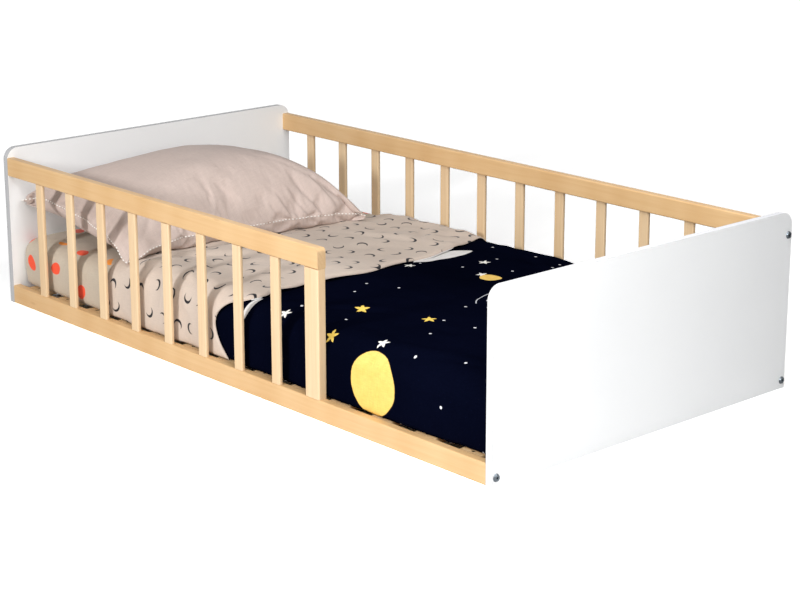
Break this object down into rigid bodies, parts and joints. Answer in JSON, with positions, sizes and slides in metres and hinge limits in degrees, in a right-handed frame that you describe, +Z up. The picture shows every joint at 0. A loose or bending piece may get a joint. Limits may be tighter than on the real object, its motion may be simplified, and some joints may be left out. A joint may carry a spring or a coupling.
{
  "type": "toddler bed",
  "caption": "Low floor bed for a small child: white end panels, pale wood rails with upright bars, slatted base, mattress with fitted sheet, duvet and pillow.",
  "frame": {"origin": "on the floor in the middle of the bed's footprint", "axes": "+X from the head end to the foot end, +Y from the open front to the rear side, +Z up"},
  "size_m": [1.4454, 0.746, 0.33],
  "materials": {
    "white_panel": "smooth white faced board, satin",
    "pale_wood": "clear satin lacquer",
    "beech_dowel": "plain",
    "steel_hardware": "zinc plated",
    "mattress_foam": "foam",
    "sheet_cotton": "printed cotton",
    "duvet_cotton": "printed cotton, padded",
    "pillow_cotton": "plain cotton, filled"
  },
  "bodies": {
    "bed_frame": {"headboard": "white_panel", "footboard": "white_panel", "front_lower_rail": "pale_wood", "rear_lower_rail": "pale_wood", "rear_upper_rail": "pale_wood", "front_guard_rail": "pale_wood", "front_guard_post": "pale_wood", "front_bar_1": "pale_wood", "front_bar_2": "pale_wood", "front_bar_3": "pale_wood", "front_bar_4": "pale_wood", "front_bar_5": "pale_wood", "front_bar_6": "pale_wood", "front_bar_7": "pale_wood", "front_bar_8": "pale_wood", "rear_bar_1": "pale_wood", "rear_bar_2": "pale_wood", "rear_bar_3": "pale_wood", "rear_bar_4": "pale_wood", "rear_bar_5": "pale_wood", "rear_bar_6": "pale_wood", "rear_bar_7": "pale_wood", "rear_bar_8": "pale_wood", "rear_bar_9": "pale_wood", "rear_bar_10": "pale_wood", "rear_bar_11": "pale_wood", "rear_bar_12": "pale_wood", "slat_1": "pale_wood", "slat_2": "pale_wood", "slat_3": "pale_wood", "slat_4": "pale_wood", "slat_5": "pale_wood", "slat_6": "pale_wood", "slat_7": "pale_wood", "slat_8": "pale_wood", "slat_9": "pale_wood", "slat_10": "pale_wood", "slat_11": "pale_wood", "slat_12": "pale_wood", "slat_13": "pale_wood", "front_cleat": "pale_wood", "rear_cleat": "pale_wood", "rail_dowels": "beech_dowel", "bar_pins": "beech_dowel", "panel_bolts": "steel_hardware", "barrel_nuts": "steel_hardware", "cleat_screws": "steel_hardware", "slat_screws": "steel_hardware"},
    "mattress": {"mattress_core": "mattress_foam", "fitted_sheet": "sheet_cotton"},
    "duvet": {"duvet": "duvet_cotton"},
    "pillow": {"pillow": "pillow_cotton"}
  },
  "joints": [
    {"name": "mattress_lift", "type": "slide", "parent": "bed_frame", "child": "mattress", "axis": [0, 0, 1], "range_m": [0, 0.31]},
    {"name": "duvet_lift", "type": "slide", "parent": "mattress", "child": "duvet", "axis": [0, 0, 1], "range_m": [0, 0.3]},
    {"name": "pillow_lift", "type": "slide", "parent": "duvet", "child": "pillow", "axis": [0, 0, 1], "range_m": [0, 0.2]}
  ]
}
